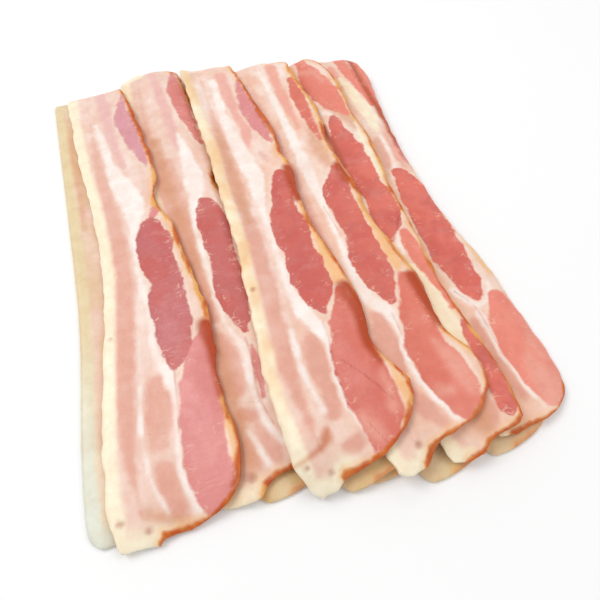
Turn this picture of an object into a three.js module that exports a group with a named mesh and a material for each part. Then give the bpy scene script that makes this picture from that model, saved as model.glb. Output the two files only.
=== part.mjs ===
import * as THREE from 'three';

// Twelve raw streaky bacon rashers, shingled in two layers as they lie in a pack.
// Millimetres, +Z up. X runs across the rashers, Y along them towards the narrow end.

// Driving dimensions of a rasher and of the pile
const THICKNESS = 2.2; // of one rasher
const EDGE_THINNING = 0.25; // how much thinner a rasher is at its cut edges
const EDGE_STEEPNESS = 16; // how suddenly it thins towards them
const GAP = 0.3; // air between rashers that touch
const RIPPLE = 0.35; // height of the waves along an upper rasher
const RIPPLE_LENGTH = 62; // from wave to wave
const UPPER_GRID = { across: 8, along: 36 }; // cells of a rasher's faces
const LOWER_GRID = { across: 8, along: 22 };

// The pile's height is kept on a grid of cells, wider than the pile
const CELL = 1.5;
const PILE_HALF = { x: 114, y: 150 };
const SETTLE = 4; // radius over which a rasher evens out what is below it
const CLEARANCE = 2.3; // distance that it keeps clear of an edge below it
const SETTLE_PASSES = 60;

// Widths of the plain rashers of the lower layer, and where they are measured
const LOWER_WIDTH = { far: 27, middle: 29, near: 33 };
const LOWER_STATION = { far: 111, middle: 25, narrow: -30, near: -85 };

// Their near end, as [x, y] from the fat side and from the tip: the fat corner stands out as a lobe
const LOWER_END = [[0, 5], [3, 0.5], [9, 0], [17, 2], [25, 5], [33, 12]];

// The tuck across the near left corner of one rasher, fading out between two shares of its length
const TUCK = { from: [-18.5, -108.5], to: [-2, -99], height: 1.6, foot: 3, back: 16, fadeFrom: 0.5, fadeTo: 1.3 };

// Upper rashers. Each edge is a curve through [x, y], from the far end to the near end
// along the sides, and from the fat side to the rind side along the ends.
const UPPER = {
  upper_1: {
    fatSide: [[-80.5, 109.5], [-78, 60], [-74, 20], [-73, -15], [-76.5, -50], [-80, -90], [-79, -115]],
    rindSide: [
      [-52, 110], [-47.5, 88], [-44, 58], [-43, 38], [-46, 24], [-40.5, 10],
      [-37.5, -15], [-33.5, -46], [-36, -75], [-33, -92], [-36, -107],
    ],
    nearEnd: [
      [-79, -115], [-77.3, -118.3], [-70.5, -119], [-65, -119.4], [-62.8, -117],
      [-55.5, -116.9], [-47.5, -116], [-40.2, -111.7], [-36, -107],
    ],
    farEnd: [[-80.5, 109.5], [-66, 110], [-52, 110]],
  },
  upper_2: {
    fatSide: [[-52.5, 119], [-52, 60], [-48, 20], [-46, -20], [-46, -60], [-47.5, -90], [-46.5, -109]],
    rindSide: [
      [-20.5, 123], [-19.3, 103], [-14.5, 62], [-13, 44], [-17.8, 31], [-12, 16],
      [-9, -15], [-5, -46], [-6.5, -75], [-3, -92], [-4, -102],
    ],
    nearEnd: [
      [-46.5, -109], [-44, -113], [-38.5, -115], [-30, -114.1], [-28.2, -110.3],
      [-23.5, -108.3], [-17.5, -107.3], [-9, -106.5], [-4, -102],
    ],
    farEnd: [[-52.5, 119], [-45, 125], [-30, 127.5], [-20.5, 123]],
  },
  upper_3: {
    fatSide: [
      [-19.8, 119], [-18.3, 75], [-17, 45], [-17.2, 20], [-16.6, -10],
      [-18, -42], [-20, -75], [-19.5, -98], [-18, -110],
    ],
    rindSide: [
      [8.5, 116], [12.5, 88], [17, 60], [18, 48], [16, 38], [19, 25], [17, 4],
      [18.5, -15], [24.5, -53], [21.5, -74], [29.3, -91], [25.5, -103],
    ],
    nearEnd: [
      [-18, -110], [-15.7, -116.2], [-11.5, -119.8], [-5.5, -119.1], [-2.3, -116],
      [5.5, -115], [13.2, -113.5], [19.5, -109.5], [25.5, -103],
    ],
    farEnd: [[-19.8, 119], [-12, 122], [2, 123.5], [8.5, 116]],
  },
  upper_4: {
    fatSide: [[5, 112], [8, 60], [9, 20], [9, -20], [10, -55], [11, -90], [12.5, -114]],
    rindSide: [
      [39.5, 107.5], [38.7, 97], [41, 75], [42.6, 58], [40.3, 40], [41.5, 22], [44, 5],
      [43.3, -12], [50.8, -48], [50.7, -73], [58, -87], [56.8, -101],
    ],
    nearEnd: [
      [12.5, -114], [15, -120.3], [19.5, -122], [25.3, -120.5], [28.5, -116.3],
      [35, -113.2], [43.5, -111.3], [51, -107.3], [56.8, -101],
    ],
    farEnd: [[5, 112], [22, 115], [31, 113], [39.5, 107.5]],
  },
  upper_5: {
    fatSide: [[33, 106], [30, 60], [27, 20], [26, -20], [26, -55], [28, -90], [33, -116]],
    rindSide: [
      [55.5, 104], [60, 92], [61.5, 78], [60.5, 60], [62.5, 32], [60, 3],
      [61, -15], [60.5, -52], [64.5, -83], [66.6, -100], [65, -113],
    ],
    nearEnd: [
      [33, -116], [35.5, -120.8], [40, -122.5], [47, -121.6], [49.5, -118.5],
      [53.5, -117.4], [58, -117], [61.5, -116], [65, -113],
    ],
    farEnd: [[33, 106], [42, 108], [49, 109], [55.5, 104]],
  },
  upper_6: {
    fatSide: [[51, 107], [47, 60], [44, 20], [45, -20], [46, -55], [48, -90], [52, -114]],
    rindSide: [
      [79, 105], [82.3, 96], [82.3, 86], [80.6, 71], [78.7, 56], [77.5, 36], [77.5, 22],
      [79.5, -8], [82, -26], [87.3, -43], [89, -65], [91.5, -92], [91, -105],
    ],
    nearEnd: [
      [52, -114], [55, -117.8], [61, -118.2], [65.5, -117.2], [69.6, -116.3],
      [74, -116], [82, -113.8], [87.5, -110.5], [91, -105],
    ],
    farEnd: [[51, 107], [57, 108.4], [68, 110.2], [75, 109], [79, 105]],
  },
};

// Lower rashers, by the X of the fat side at three places and the Y of the near end
const LOWER = {
  lower_1: { far: -88, middle: -84.5, near: -87.5, end: -115 },
  lower_2: { far: -56, middle: -50, near: -33, end: -116 },
  lower_3: { far: -28, middle: -22, near: -5, end: -120.5 },
  lower_4: { far: 0, middle: 4, near: 4, end: -120 },
  lower_5: { far: 26, middle: 27, near: 23, end: -125 },
  lower_6: { far: 51, middle: 50, near: 48, end: -122.5 },
};

// The order in which the rashers were laid down: each lies on those before it
const LAID_DOWN = [
  'lower_6', 'lower_5', 'lower_4', 'lower_3', 'lower_2', 'lower_1',
  'upper_6', 'upper_5', 'upper_4', 'upper_2', 'upper_3', 'upper_1',
];

const LEAN_COLOUR = { upper: '#d98a83', lower: '#e6cfa9' };

const curveThrough = (points) => new THREE.SplineCurve(points.map(([x, y]) => new THREE.Vector2(x, y)));

// A lower rasher's four edges
function plainOutline({ far, middle, near, end }) {
  const { far: farY, middle: middleY, narrow: narrowY, near: nearY } = LOWER_STATION;
  const nearEnd = LOWER_END.map(([x, y]) => [near + x, end + y]);
  const farEnd = [[far, farY], [far + LOWER_WIDTH.far, farY]];
  const fatSide = [farEnd[0], [middle - 1, middleY], [middle, narrowY], [near, nearY], nearEnd[0]];
  const rindSide = [
    farEnd[1],
    [middle + LOWER_WIDTH.middle - 1, middleY],
    [middle + LOWER_WIDTH.middle, narrowY],
    [near + LOWER_WIDTH.near, nearY],
    nearEnd.at(-1),
  ];
  return { fatSide, rindSide, nearEnd, farEnd };
}

// Plan positions of a grid stretched between the four edges of a rasher: evenly spaced along its
// sides, and across its ends as their points are spaced
function spreadGrid(outline, { across, along }) {
  const fat = curveThrough(outline.fatSide);
  const rind = curveThrough(outline.rindSide);
  const near = curveThrough(outline.nearEnd);
  const far = curveThrough(outline.farEnd);
  const corner = { farFat: far.getPoint(0), farRind: far.getPoint(1) };
  corner.nearFat = near.getPoint(0);
  corner.nearRind = near.getPoint(1);
  const points = [];
  for (let j = 0; j <= along; j++) {
    const v = j / along;
    const left = fat.getPointAt(v);
    const right = rind.getPointAt(v);
    for (let i = 0; i <= across; i++) {
      const u = i / across;
      const top = far.getPoint(u);
      const bottom = near.getPoint(u);
      const sides = left.clone().lerp(right, u);
      const ends = top.clone().lerp(bottom, v);
      const farLine = corner.farFat.clone().lerp(corner.farRind, u);
      const nearLine = corner.nearFat.clone().lerp(corner.nearRind, u);
      points.push(sides.add(ends).sub(farLine.lerp(nearLine, v)));
    }
  }
  return points;
}

// The pile so far, as the height that the next rasher must clear above each cell
const pile = {
  columns: Math.ceil((2 * PILE_HALF.x) / CELL),
  rows: Math.ceil((2 * PILE_HALF.y) / CELL),
  column: (x) => Math.round((x + PILE_HALF.x) / CELL),
  row: (y) => Math.round((y + PILE_HALF.y) / CELL),
};
pile.height = new Float64Array(pile.columns * pile.rows);

// Every cell offset within a radius of a cell
function disc(radius) {
  const reach = Math.ceil(radius / CELL);
  const offsets = [];
  for (let row = -reach; row <= reach; row++) {
    for (let column = -reach; column <= reach; column++) {
      if (Math.hypot(row, column) * CELL <= radius) offsets.push(row * pile.columns + column);
    }
  }
  return offsets;
}

// Cells of the pile under a triangle of points, each with its weights for the three points
function cellsUnder(corners) {
  const flat = corners.map(({ x, y }) => new THREE.Vector3(x, y, 0));
  const box = new THREE.Box3().setFromPoints(flat);
  const cells = [];
  for (let row = pile.row(box.min.y); row <= pile.row(box.max.y); row++) {
    for (let column = pile.column(box.min.x); column <= pile.column(box.max.x); column++) {
      const spot = new THREE.Vector3(column * CELL - PILE_HALF.x, row * CELL - PILE_HALF.y, 0);
      const weights = THREE.Triangle.getBarycoord(spot, ...flat, new THREE.Vector3());
      if (weights && Math.min(...weights) >= 0) cells.push({ cell: row * pile.columns + column, weights });
    }
  }
  return cells;
}

// The two triangles of each cell of a rasher's grid, as indices of its points
function trianglesOf({ across, along }) {
  const row = across + 1;
  const triangles = [];
  for (let j = 0; j < along; j++) {
    for (let i = 0; i < across; i++) {
      const k = j * row + i;
      triangles.push([k, k + row, k + 1], [k + 1, k + row, k + row + 1]);
    }
  }
  return triangles;
}

// Heights of a rasher's underside: eased over what is below, then raised wherever a triangle would cut it
function settle(points, contacts) {
  const reach = disc(SETTLE + CLEARANCE);
  const close = disc(CLEARANCE);
  const around = disc(SETTLE);
  const highest = (cell, offsets) => offsets.reduce((high, step) => Math.max(high, pile.height[cell + step]), 0);
  const heights = points.map(({ x, y }) => {
    const cell = pile.row(y) * pile.columns + pile.column(x);
    return around.reduce((sum, step) => sum + highest(cell + step, reach), 0) / around.length;
  });
  const needs = contacts.flatMap(({ triangle, cells }) =>
    cells.map(({ cell, weights }) => ({ triangle, weights, floor: highest(cell, close) })),
  );
  for (let pass = 0; pass < SETTLE_PASSES; pass++) {
    for (const { triangle, weights, floor } of needs) {
      const share = [...weights];
      const shortfall = floor - share.reduce((sum, weight, n) => sum + weight * heights[triangle[n]], 0);
      if (shortfall <= 0) continue;
      triangle.forEach((k, n) => (heights[k] += (shortfall * share[n]) / weights.lengthSq()));
    }
  }
  return heights;
}

// Rise of the tuck: steep at its foot, fading away behind it and past its inner end
function tuckRise({ x, y }) {
  const from = new THREE.Vector2(...TUCK.from);
  const line = new THREE.Vector2(...TUCK.to).sub(from);
  const length = line.length();
  line.normalize();
  const offset = new THREE.Vector2(x, y).sub(from);
  const alongLine = offset.dot(line);
  const behind = line.cross(offset);
  const front = THREE.MathUtils.smoothstep(behind, -TUCK.foot, TUCK.foot);
  const fade = 1 - THREE.MathUtils.smoothstep(behind, TUCK.foot, TUCK.back);
  const inner = 1 - THREE.MathUtils.smoothstep(alongLine, length * TUCK.fadeFrom, length * TUCK.fadeTo);
  return TUCK.height * front * fade * inner;
}

// Raises the pile to the top face of a rasher that has been laid down
function addToPile(tops, contacts) {
  for (const { triangle, cells } of contacts) {
    const corners = new THREE.Vector3(...triangle.map((k) => tops[k]));
    for (const { cell, weights } of cells) {
      pile.height[cell] = Math.max(pile.height[cell], weights.dot(corners) + GAP);
    }
  }
}

// The closed solid between two faces that are split into triangles alike
function slab(points, bottoms, tops, triangles, { across, along }) {
  const row = across + 1;
  const count = points.length;
  const positions = [];
  points.forEach(({ x, y }, k) => positions.push(x, y, tops[k]));
  points.forEach(({ x, y }, k) => positions.push(x, y, bottoms[k]));
  const faces = [];
  for (const [a, b, c] of triangles) faces.push(a, b, c, count + a, count + c, count + b);
  const wall = (a, b) => faces.push(a, b, count + b, a, count + b, count + a);
  for (let i = 0; i < across; i++) {
    wall(i, i + 1);
    wall(along * row + i + 1, along * row + i);
  }
  for (let j = 0; j < along; j++) {
    wall((j + 1) * row, j * row);
    wall(j * row + across, (j + 1) * row + across);
  }
  const geometry = new THREE.BufferGeometry();
  geometry.setAttribute('position', new THREE.Float32BufferAttribute(positions, 3));
  geometry.setIndex(faces);
  geometry.computeVertexNormals();
  return geometry;
}

// Lays one rasher on the pile and returns its mesh
function layRasher(name) {
  const isUpper = name in UPPER;
  const grid = isUpper ? UPPER_GRID : LOWER_GRID;
  const outline = isUpper ? UPPER[name] : plainOutline(LOWER[name]);
  const points = spreadGrid(outline, grid);
  const phase = points[0].x / RIPPLE_LENGTH;
  const rise = (point) => {
    const wave = 0.5 + 0.5 * Math.sin(2 * Math.PI * (point.y / RIPPLE_LENGTH + phase));
    const tuck = name === 'upper_3' ? tuckRise(point) : 0;
    return isUpper ? RIPPLE * wave + tuck : 0;
  };
  const triangles = trianglesOf(grid);
  const contacts = triangles.map((triangle) => ({ triangle, cells: cellsUnder(triangle.map((k) => points[k])) }));
  const bottoms = settle(points, contacts).map((height, k) => height + rise(points[k]));
  const thickness = (k) => {
    const u = (2 * (k % (grid.across + 1))) / grid.across - 1;
    const v = (2 * Math.floor(k / (grid.across + 1))) / grid.along - 1;
    return THICKNESS * (1 - EDGE_THINNING * Math.max(Math.abs(u), Math.abs(v)) ** EDGE_STEEPNESS);
  };
  const tops = bottoms.map((height, k) => height + thickness(k));
  addToPile(tops, contacts);
  const material = new THREE.MeshStandardMaterial({
    color: isUpper ? LEAN_COLOUR.upper : LEAN_COLOUR.lower,
    roughness: 0.45,
    metalness: 0,
  });
  const mesh = new THREE.Mesh(slab(points, bottoms, tops, triangles, grid), material);
  mesh.name = name;
  return mesh;
}

const rashers = new THREE.Group();
for (const name of LAID_DOWN) rashers.add(layRasher(name));

// The origin is the middle of the pile's footprint, on the surface it lies on
const middle = new THREE.Box3().setFromObject(rashers).getCenter(new THREE.Vector3());
rashers.position.set(-middle.x, -middle.y, 0);

export default rashers;
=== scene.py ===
import math

import bmesh
import bpy
import numpy as np
from mathutils import Matrix, Vector


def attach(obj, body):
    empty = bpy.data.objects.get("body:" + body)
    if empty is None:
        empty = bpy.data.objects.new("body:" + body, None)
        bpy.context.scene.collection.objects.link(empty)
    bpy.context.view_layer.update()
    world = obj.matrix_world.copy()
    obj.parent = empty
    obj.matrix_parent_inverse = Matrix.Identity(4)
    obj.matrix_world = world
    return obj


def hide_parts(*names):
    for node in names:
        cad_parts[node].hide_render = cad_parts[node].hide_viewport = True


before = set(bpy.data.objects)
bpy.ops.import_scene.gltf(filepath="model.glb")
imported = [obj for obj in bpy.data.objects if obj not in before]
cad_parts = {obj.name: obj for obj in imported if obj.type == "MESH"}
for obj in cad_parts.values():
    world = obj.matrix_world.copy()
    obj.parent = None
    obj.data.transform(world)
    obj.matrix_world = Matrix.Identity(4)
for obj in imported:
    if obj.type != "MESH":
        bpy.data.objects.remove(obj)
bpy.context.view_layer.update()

# Sizes are in millimetres, except where a comment says metres
MM = 0.001

# The photograph's camera, in the plan that the patterns below were measured in
PLAN_ORIGIN = np.array((-1.775, -1.231, 0.0))
PLAN_HEIGHT = 8.0
EYE = np.array((-34.56, -154.42, 187.07))
VIEW_RIGHT = (0.95941, -0.28082, 0.02604)
VIEW_DOWN = (-0.22290, -0.81161, -0.54001)
VIEW_AHEAD = (0.17278, 0.51228, -0.84126)
SENSOR_WIDTH = 36.0
LENS = 31.98
NEAREST_SEEN = 10.0

# Rashers in the order they are laid down
LAID_DOWN = (
    "lower_6", "lower_5", "lower_4", "lower_3", "lower_2", "lower_1",
    "upper_6", "upper_5", "upper_4", "upper_2", "upper_3", "upper_1",
)

# Rounding of a rasher's grid into a smooth slice, in which the sharp turns of its near end stay
LEVELS = {"upper": 3, "lower": 2}
MERGE_DISTANCE = 0.02
CORNER_TURN = math.radians(32)
CORNER_SHARPNESS = 0.75

# Relief: lean lies lower than fat, between two depths at its border, faces swell, and cut edges are ragged.
# A height or depth of noise is its full range, and most of it keeps to the middle third.
LEAN_DIP = 0.15
LEAN_SLOPE = (-0.8, 1.0)
SWELL_HEIGHT = 0.7
SWELL_SIZE = 22
GRAIN_HEIGHT = 0.22
GRAIN_SIZE = 4
RAGGED_DEPTH = {"upper": 3.5, "lower": 0.6}
RAGGED_SIZE = 9

# Parts of a normal that tell a level face, an edge along a rasher's side and one at its near end
LEVEL_TILT = 0.5
SIDE_TURN = 0.35
END_TURN = 0.5

# Points along a rim: their distance, the depth of the near end, and the share of it that is the pale tip
RIM_STEP = 1.0
NEAR_END = 25.0
TIP_SHARE = 0.33

# Patterns of the rashers: a chain runs through places on the plan, as x, y and half width
# Tan chains are partly the fat's own tan and partly painted shade beside the rims of the rashers above
PATTERNS = {
    "upper_1": {
        "white": [
            [(-67, 80, 1.2), (-64.5, 65, 1.6), (-62.5, 50, 2.2), (-59, 36, 4.4), (-55.6, 24, 5),
             (-57.2, 6, 1.6), (-58, -14, 1), (-55.8, -34, 1.2), (-56.2, -54, 1.8), (-53, -64, 1.8),
             (-52.4, -76, 0.8), (-53.2, -86, 0.7), (-54.2, -95, 1), (-53.2, -105, 1.2),
             (-50.4, -114, 1.2)],
            [(-63.6, -66, 0.2), (-65, -78, 0.5), (-65.1, -90, 0.5), (-63.6, -102, 0.5),
             (-60.2, -111, 0.4)],
        ],
        "dark": [
            [(-50, 9, 4.5), (-49.5, 0, 6.9), (-49.5, -10, 7.6), (-47.6, -22, 6.6), (-48.2, -33, 7.7),
             (-48.2, -44, 7.2), (-49.3, -54, 5), (-50, -62, 1)],
        ],
        "soft": [[(-62.5, 104, 2.4), (-61.5, 88, 3), (-60.6, 72, 2.8), (-57.5, 48, 1.2)]],
        "tan": [[(-66, -110, 1.6), (-61, -113, 2), (-57, -115.5, 1.6)]],
        "burnt": [[(-36.5, -47, 3), (-35, -56, 2.6), (-34.6, -66, 2.4), (-35.6, -76, 1.2)]],
        "pink": [
            [(-36.5, -48, 2.4), (-40.5, -62, 6.2), (-44.2, -78, 7.4), (-45.4, -92, 7.8), (-45, -104, 7.4),
             (-44, -114, 5)],
            [(-48.5, 14, 1.4), (-45.8, 17.5, 2.2)],
        ],
        "mauve": [[(-52.3, 101, 0.8), (-53.4, 88, 3), (-52.8, 77, 4.3), (-50.2, 63, 3.5), (-46.6, 46, 1)]],
        "pale": [
            [(-57.4, -67, 3.8), (-58, -74, 5), (-59, -82, 5), (-59.6, -87.2, 4)],
            [(-59.6, -97.8, 3.6), (-58.8, -104, 3.8), (-56.8, -111, 3)],
        ],
        "butter": [
            [(-38, -80, 0.6), (-37.2, -86, 0.8), (-37.2, -93, 0.5), (-38.8, -101, 0.4)],
            [(-44, 34, 1.6), (-40, 8, 1.8), (-37.5, -20, 1.6)],
        ],
        "gold": [
            [(-37, -80, 1.2), (-35.6, -88, 2), (-35.2, -95, 2), (-36.8, -101.5, 1.7), (-39.2, -106.4, 1)],
        ],
        "rust": [
            [(-49.4, 103, 2.4), (-48, 92, 2.6), (-45.8, 72, 2.2), (-42.4, 50, 1.8)],
            [(-34.6, -78, 0.5), (-33.7, -85, 1.2), (-33.3, -92.5, 1.6), (-33.9, -98, 1.9),
             (-35.8, -104, 1.7), (-38.4, -108, 1.2)],
        ],
        "line": [
            [(-50.8, -62, 0.35), (-51.3, -72, 0.4), (-52.8, -86, 0.35)],
            [(-42.6, -51, 0.45), (-40.8, -44, 0.4)],
            [(-64, -83.6, 0.1), (-60, -84.6, 0.2), (-56.4, -85.4, 0.1)],
        ],
        "spot": [[(-67, -115, 1.2)], [(-71.7, -43.5, 0.7)], [(-72.7, -22, 0.5)], [(-75, -110.5, 0.7)]],
    },
    "upper_2": {
        "white": [
            [(-28.5, 64, 1.2), (-27, 46, 3), (-26.5, 31, 4.6), (-27.5, 20, 3.4), (-31, 2, 1.2),
             (-30, -24, 1.2), (-28.6, -48, 0.9), (-24.5, -60, 1.2), (-25, -76, 1), (-23.5, -90, 1.3),
             (-18, -101, 1.2)],
            [(-30.1, -92, 0.7), (-28.4, -97, 1), (-26.8, -102, 1), (-25.2, -106.5, 0.7)],
        ],
        "soft": [[(-34.4, 113, 2.4), (-32.6, 92, 2.8), (-31.6, 72, 2.4), (-30, 54, 1.2)]],
        # Painted shade beside the rind of the rasher above
        "tan": [
            [(-40.5, 62, 2.4), (-39, 40, 2.8), (-37.5, 18, 2.6), (-34.5, -8, 1.6), (-33, -34, 1)],
            [(-33, -50, 0.8), (-33, -66, 1.6), (-33, -80, 2.2), (-32, -94, 2.6), (-32, -106, 2.4)],
        ],
        "dark": [
            [(-24, 16, 3.5), (-23.4, 7, 6.2), (-23.2, -3, 6.6), (-22.7, -14, 5.8), (-23.2, -28, 6.2),
             (-23, -40, 5.4), (-22, -53, 1.2)],
        ],
        "pink": [
            [(-21, -60, 0.8), (-21, -70, 1.3), (-21.6, -81, 0.9)],
            [(-24, 113, 1.5), (-24.7, 100, 3.7), (-23.4, 86, 3.8), (-21.2, 70, 2.6), (-19, 55, 0.8)],
        ],
        "pale": [
            [(-38, 45, 4), (-37, 20, 5), (-35, -5, 3.6), (-34, -30, 3), (-33, -45, 2.5)],
            [(-31.8, -54, 2.6), (-30.5, -66, 4.6), (-31, -75, 4.4)],
            [(-30, -85.8, 3), (-27, -87.2, 3)],
            [(-26.5, -91, 1.8), (-24.6, -96, 3), (-22.4, -103, 3)],
            [(-31.5, -97, 2.4), (-30, -103, 2.4)],
            [(-25.5, 50, 0.8), (-25, 41, 1.6), (-22.5, 33, 1.4)],
        ],
        "rust": [[(-19, 33, 0.6), (-17.5, 28, 1.1)]],
        "line": [
            [(-22.8, -56, 0.35), (-22.2, -65, 0.35), (-23.3, -76, 0.4), (-23, -83, 0.4),
             (-20.8, -92, 0.3)],
            [(-35.5, -79.8, 0.1), (-30.5, -81.2, 0.2), (-24, -82.6, 0.2)],
        ],
        "spot": [[(-32.8, -107.7, 1.9)]],
    },
    "upper_3": {
        "white": [
            [(-4, 102, 1.6), (-4.5, 80, 2.2), (-3.5, 60, 2.6), (-1, 40, 4), (1, 25, 4), (-0.5, 8, 1.8),
             (-0.5, -12, 1.3), (-0.5, -32, 1.6), (1, -48, 2.8), (5, -58, 3), (7, -70, 1.3), (6, -85, 1.2),
             (9, -100, 1.4), (13, -112, 1.4)],
            [(-5, -58, 0.8), (-5.5, -76, 1), (-2.5, -92, 1)],
        ],
        "soft": [[(1, 105, 3), (1.4, 88, 3.2), (3.6, 74, 3.6), (4.4, 60, 3), (3, 47, 1.6)]],
        "tan": [[(-9.8, 62, 1.6), (-9, 40, 2.4), (-8.6, 18, 2.6), (-8, 0, 1.4)]],
        "dark": [
            [(12.8, 25, 3.4), (12, 16, 5), (9.8, 6, 5.4), (8.2, -3, 7.4), (8.4, -12, 8), (9.4, -22, 6.9),
             (9, -32, 8), (9.5, -42, 7), (10, -53, 1.6)],
        ],
        "burnt": [
            [(17.4, 28, 2), (18, 18, 3), (17.4, 8, 2)],
            [(21, -44.5, 3.4), (22.8, -51, 3), (23.4, -57, 2.6), (22.6, -65, 2.2), (22, -72, 1.6),
             (23.6, -79, 0.4)],
        ],
        "light": [
            [(22.6, -84, 1), (23, -90, 1.6), (22, -97, 1.2)],
            [(9.8, -98, 2), (11.4, -102, 3), (13, -106, 2)],
        ],
        "pink": [
            [(19.8, -45, 2.4), (17.2, -60, 6.8), (15.2, -76, 8.9), (16.2, -90, 9.7), (15.8, -101, 7.4),
             (13, -109, 4)],
        ],
        "mauve": [[(9.6, 100, 0.8), (8.5, 88, 2.8), (9.3, 75, 3.9), (11, 60, 3.4), (15, 47, 1)]],
        "pale": [
            [(1.5, -64, 3.8), (0.8, -74, 4.4), (1.6, -84, 3.8), (0.5, -94, 2.6)],
            [(2.5, -107, 3), (8, -105, 2.5)],
            [(7.5, 41, 1.4), (9.5, 35, 1.2)],
        ],
        "gold": [[(18.8, -8, 1.8), (19, -24, 3), (20.4, -39, 2.6)], [(26.5, -85, 1.6), (28, -94, 2)]],
        "rust": [[(11, 99, 0.8), (13.5, 82, 1.2), (16, 62, 1.6), (18, 48, 1.8), (19.6, 36, 1.2)]],
        "line": [
            [(10, -75, 0.4), (16, -83, 0.4), (23, -95, 0.3)],
            [(8, -57, 0.35), (7.6, -66, 0.35), (6.2, -78, 0.35), (6.5, -92, 0.3)],
            [(11, -100, 0.3), (15, -109, 0.3)],
        ],
        "spot": [[(-7, -113, 1)], [(-14, -110, 0.7)], [(-14.7, -35.5, 0.6)]],
        # Painted shade along the step where this rasher drapes over the near end of the one below
        "crease": [
            [(-17.6, -108, 0.2), (-13.4, -107, 0.5), (-9.2, -105.6, 0.8), (-6.4, -103.9, 1.2),
             (-4.8, -101.6, 2), (-3.9, -99.6, 1.4)],
        ],
    },
    "upper_4": {
        "white": [
            [(22.5, 102, 1.6), (24, 75, 1.8), (25.5, 45, 2.4), (25.8, 20, 2.8), (27, -5, 1.4),
             (27.5, -30, 1.8), (28.5, -50, 2.8), (34, -60, 2.4), (35, -72, 1.3), (34, -84, 1.3),
             (37, -95, 1.6), (42.5, -108, 1.6)],
        ],
        "soft": [[(29.4, 105, 3), (29, 88, 3), (29.6, 72, 2.6), (30.4, 54, 1.2)]],
        "tan": [[(38, 60, 2), (36, 45, 3), (36.4, 34, 3.6), (37.2, 26, 2)]],
        "dark": [
            [(39, 22, 2.2), (36.8, 13, 4.8), (35, 4, 6.5), (35.2, -6, 6.4), (36.7, -19, 6.2),
             (35.6, -31, 7.3), (36.2, -42, 6.9), (37.6, -54, 2.4)],
        ],
        "burnt": [[(50, -46, 2.4), (51.2, -58, 2), (52.2, -70, 1.4)], [(41, 24, 1.6), (42, 14, 2)]],
        "pink": [
            [(47.5, -46, 2.8), (45, -61, 5.8), (43, -78, 8), (45, -88, 9.3), (47.6, -97, 8.3),
             (47, -105, 5)],
            [(36.8, 93, 2), (36.9, 78, 3.3), (37, 64, 3.2), (38.4, 44, 1)],
        ],
        "light": [
            [(46.6, -76, 1), (49.4, -84, 2.8), (51.6, -92, 3.4), (51.6, -99, 2.4)],
            [(40.4, -96.6, 1.4), (44.6, -97, 1.2)],
        ],
        "pale": [
            [(29.5, -62, 3.2), (28.8, -72, 5.5), (29.6, -80, 4), (29, -87, 1.8)],
            [(30.5, -95, 2), (33, -101, 3.4), (36.5, -107.5, 2.6)],
        ],
        "gold": [[(44, -6, 1.4), (45.2, -24, 2.6), (46.6, -40, 1.6)]],
        "rust": [[(43.4, 14, 1), (45, 8, 1.6), (45.6, 2, 0.8)]],
        "line": [[(35.5, -61, 0.35), (35.8, -71, 0.35)], [(26.5, 0, 0.3), (28.5, -15, 0.35)]],
        "spot": [[(24.5, -112.5, 1.2)]],
    },
    "upper_5": {
        "white": [
            [(56.5, -4, 0.9), (57.4, -12, 1.2), (52.4, -25, 1.3), (51.6, -34, 1.2)],
            [(44, 62, 1), (49, 60, 1.4)],
        ],
        "tan": [
            [(53, 64, 2.6), (57, 56, 3.6), (58.8, 47, 2.4)],
            [(52, -82, 2), (51, -98, 3.6), (50, -112, 4)],
        ],
        "dark": [
            [(50.2, 56.5, 2.4), (49.6, 46, 4.8), (50, 34, 6.8), (50.2, 20, 7.6), (51, 9, 6.8),
             (52.6, -3, 7.2), (51.6, -14, 6.4), (49.2, -26, 1.2)],
            [(61.6, -72, 1.4), (61.8, -82, 2.8), (62.8, -94, 3.9), (62, -107, 4.2)],
        ],
        "deep": [[(42.6, 52, 1.4), (43.4, 38, 1.8), (44.4, 22, 1.2)]],
        "pink": [
            [(46.8, 104, 3.6), (48.6, 93, 6.5), (50, 82, 8.6), (53, 70, 6.4), (57.6, 59, 2.2)],
            [(56, -24, 2.6), (56.6, -33, 4), (58, -44, 3.2), (59.4, -54, 2), (60.6, -64, 1.2)],
        ],
        "light": [[(43, 97, 2), (50, 96, 2), (54, 88, 1.2)]],
        "pale": [[(55, -94, 3), (54, -105, 4), (52, -113, 3)]],
        "butter": [
            [(59.6, 50, 1.2), (59.7, 41, 2), (59.6, 28, 2.6), (59.4, 12, 2)],
            [(53, -42, 1.6), (55.2, -56, 4), (55, -68, 5), (57, -80, 2)],
        ],
        "line": [[(57.5, -14, 0.3), (51, -26, 0.3)]],
    },
    "upper_6": {
        "white": [
            [(63.5, -57, 1), (69, -66, 1.5), (75.5, -65, 1.2), (79.5, -58, 1)],
            [(69, -70, 1.3), (69.5, -88, 1.2), (73, -108, 1.3)],
            [(68.5, 38, 0.9), (68.6, 26, 0.9), (66.5, 14, 1), (63, 8, 0.8)],
        ],
        "dark": [
            [(67.5, 11, 3), (69, 2, 6.2), (70, -8, 7.8), (69.6, -18, 7.3), (69.9, -30, 7.9),
             (70.4, -44, 7.4), (71.5, -56, 5.4), (72, -64, 1.6)],
        ],
        "deep": [
            [(74, 102, 1.2), (74.2, 82, 1.6), (74.6, 66, 1.6), (75, 52, 1.4), (75.2, 36, 1.6),
             (75.4, 22, 0.8)],
        ],
        "pink": [
            [(79.5, -65, 3.6), (78.6, -75, 7), (78, -86, 8.2), (79.4, -98, 8), (79, -109, 5)],
            [(67.8, 103, 3), (69.8, 90, 3.2), (71.8, 77, 2.6), (73, 62, 1.2)],
            [(77, 98, 2), (78.2, 87, 3), (77.6, 72, 3), (77, 58, 1.8)],
        ],
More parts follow.
